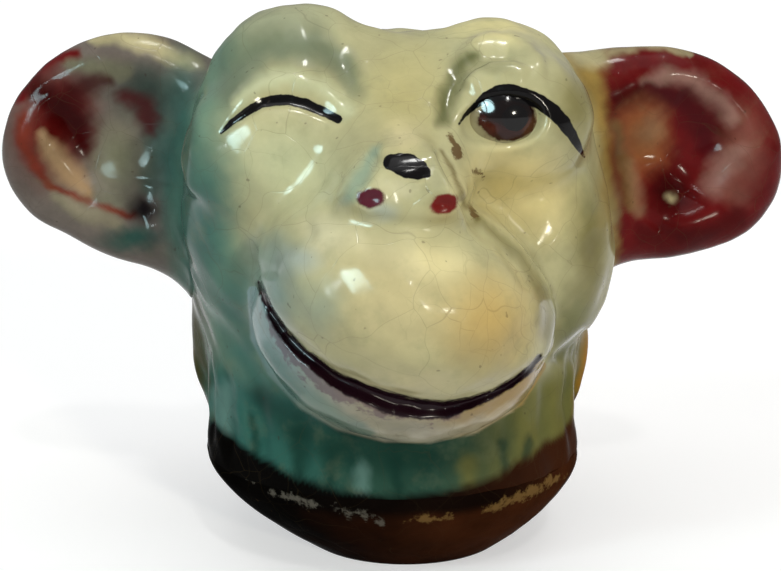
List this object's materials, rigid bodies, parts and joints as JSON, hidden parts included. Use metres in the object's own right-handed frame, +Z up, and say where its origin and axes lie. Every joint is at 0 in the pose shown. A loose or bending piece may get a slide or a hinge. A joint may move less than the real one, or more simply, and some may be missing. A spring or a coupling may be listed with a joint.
{
  "type": "monkey head figurine",
  "caption": "Small free-standing glazed ceramic ornament: a winking monkey's head with cupped ears and a lopsided smile, on a round neck and dark foot.",
  "frame": {"origin": "centre of the foot's flat underside, on the axis of the vent hole", "axes": "+Z up, -Y the way the face looks, +X to the right of someone who faces it"},
  "size_m": [0.0789, 0.0546, 0.0536],
  "materials": {
    "face_glaze": "gloss, finely crazed",
    "fur_glaze": "gloss, finely crazed",
    "lip_glaze": "gloss, finely crazed",
    "eye_glaze": "gloss",
    "ear_glaze": "gloss, finely crazed",
    "foot_glaze": "gloss, worn at the shoulder",
    "black_enamel": "gloss",
    "iris_enamel": "gloss",
    "nostril_enamel": "gloss"
  },
  "bodies": {
    "root": {"face_shell": "face_glaze", "back_shell": "fur_glaze", "lower_lip": "lip_glaze", "eyeball": "eye_glaze", "ear_left": "ear_glaze", "ear_right": "ear_glaze", "foot": "foot_glaze", "wink_line": "black_enamel", "lash_line": "black_enamel", "iris": "iris_enamel", "pupil": "black_enamel", "nose_patch": "black_enamel", "nostril_spots": "nostril_enamel"}
  },
  "joints": []
}
